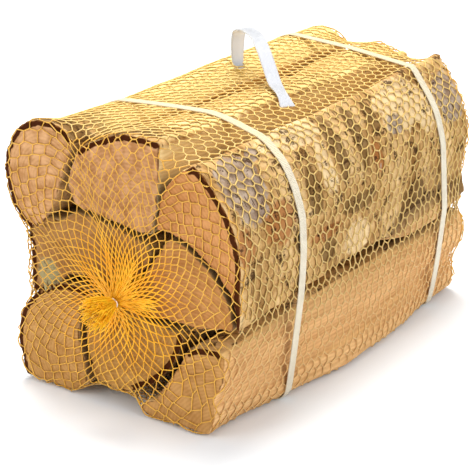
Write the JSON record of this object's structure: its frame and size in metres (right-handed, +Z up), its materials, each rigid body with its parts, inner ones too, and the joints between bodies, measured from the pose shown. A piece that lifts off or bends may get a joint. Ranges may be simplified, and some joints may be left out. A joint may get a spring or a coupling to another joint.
{
  "type": "net bundle of firewood",
  "caption": "Split birch logs held as a bundle in a knitted net that is clipped at both ends, with flat straps round it and a carry handle on top.",
  "frame": {"origin": "middle of the bundle's box, on the ground", "axes": "+Y along the logs from the front end to the rear end, +X to the right as seen from the front, +Z up"},
  "size_m": [0.2082, 0.3874, 0.2298],
  "materials": {
    "bark": "rough bark with split and sawn faces",
    "split_wood": "raw split and sawn",
    "net": "knitted yellow thread",
    "clip": "bare",
    "strap": "embossed",
    "handle": "smooth"
  },
  "bodies": {
    "root": {"log_top_left": "bark", "log_top_middle": "bark", "log_right": "bark", "log_middle_left": "split_wood", "log_centre": "split_wood", "log_bottom_left": "split_wood", "log_bottom_middle": "split_wood", "log_bottom_right": "split_wood", "net": "net", "clip_front": "clip", "clip_rear": "clip", "strap_front": "strap", "strap_rear": "strap", "handle": "handle"}
  },
  "joints": []
}
